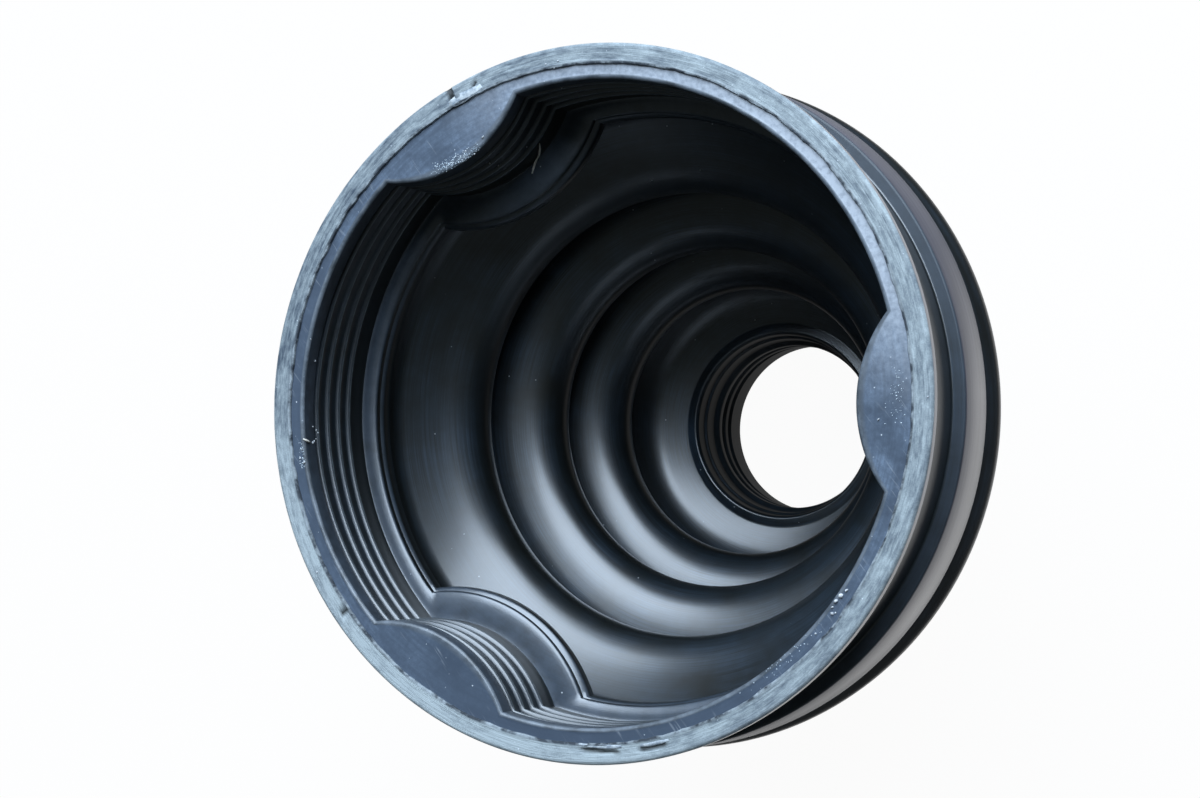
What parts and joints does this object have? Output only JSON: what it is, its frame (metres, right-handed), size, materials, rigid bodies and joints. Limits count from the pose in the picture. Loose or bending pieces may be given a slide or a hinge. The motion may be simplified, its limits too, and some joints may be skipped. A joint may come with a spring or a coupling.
{
  "type": "drive shaft joint boot",
  "caption": "Rubber bellows boot with a lobed, ribbed seat for a drive-shaft joint in its wide mouth and sealing ribs in its narrow neck.",
  "frame": {"origin": "centre of the neck's end face, at the bottom of the standing boot", "axes": "+Z along the boot's axis from the neck to the wide mouth; +X through the middle of one of the seat's lobes"},
  "size_m": [0.0868, 0.0868, 0.0875],
  "materials": {
    "rubber": "satin"
  },
  "bodies": {
    "root": {"boot": "rubber"}
  },
  "joints": []
}
